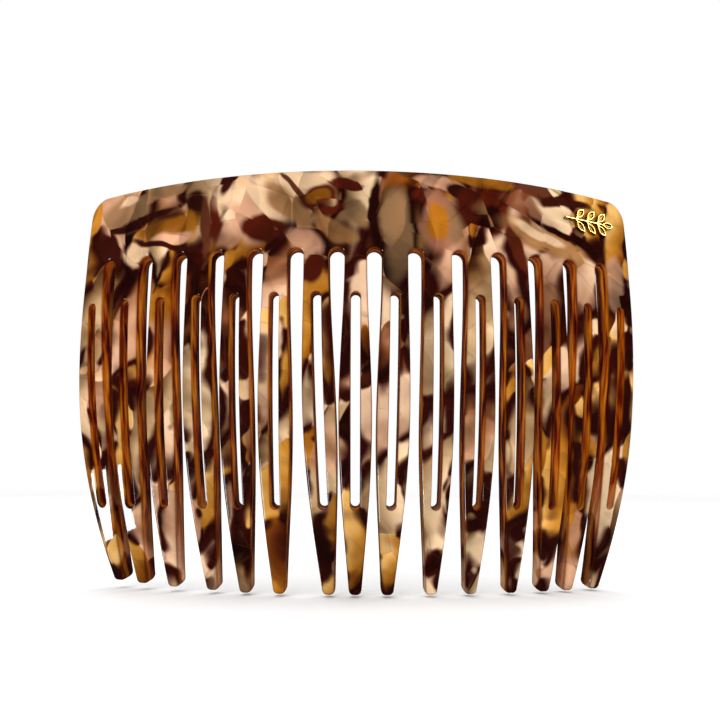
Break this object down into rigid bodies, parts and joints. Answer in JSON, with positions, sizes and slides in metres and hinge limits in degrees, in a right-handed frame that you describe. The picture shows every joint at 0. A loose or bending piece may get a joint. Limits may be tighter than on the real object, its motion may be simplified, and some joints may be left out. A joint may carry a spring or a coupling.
{
  "type": "decorative hair comb",
  "caption": "Domed side comb with an arched back, long slotted prongs that swell and then taper to round tips, and a small leaf emblem near one top corner.",
  "frame": {"origin": "In the middle of the sheet's thickness at the root of the middle prong, where the hair stops.", "axes": "+X runs to the right along the comb, seen from its domed front; +Y points into the hair, to the hollow side; +Z points from the tips up to the back."},
  "size_m": [0.0922, 0.0196, 0.066],
  "materials": {
    "marbled_acetate": "polished marbled cellulose acetate, cream, pink-beige, amber and dark brown",
    "gilt": "polished gilt"
  },
  "bodies": {
    "root": {"back": "marbled_acetate", "prong_01": "marbled_acetate", "prong_02": "marbled_acetate", "prong_03": "marbled_acetate", "prong_04": "marbled_acetate", "prong_05": "marbled_acetate", "prong_06": "marbled_acetate", "prong_07": "marbled_acetate", "prong_08": "marbled_acetate", "prong_09": "marbled_acetate", "prong_10": "marbled_acetate", "prong_11": "marbled_acetate", "prong_12": "marbled_acetate", "prong_13": "marbled_acetate", "prong_14": "marbled_acetate", "prong_15": "marbled_acetate", "emblem": "gilt"}
  },
  "joints": []
}
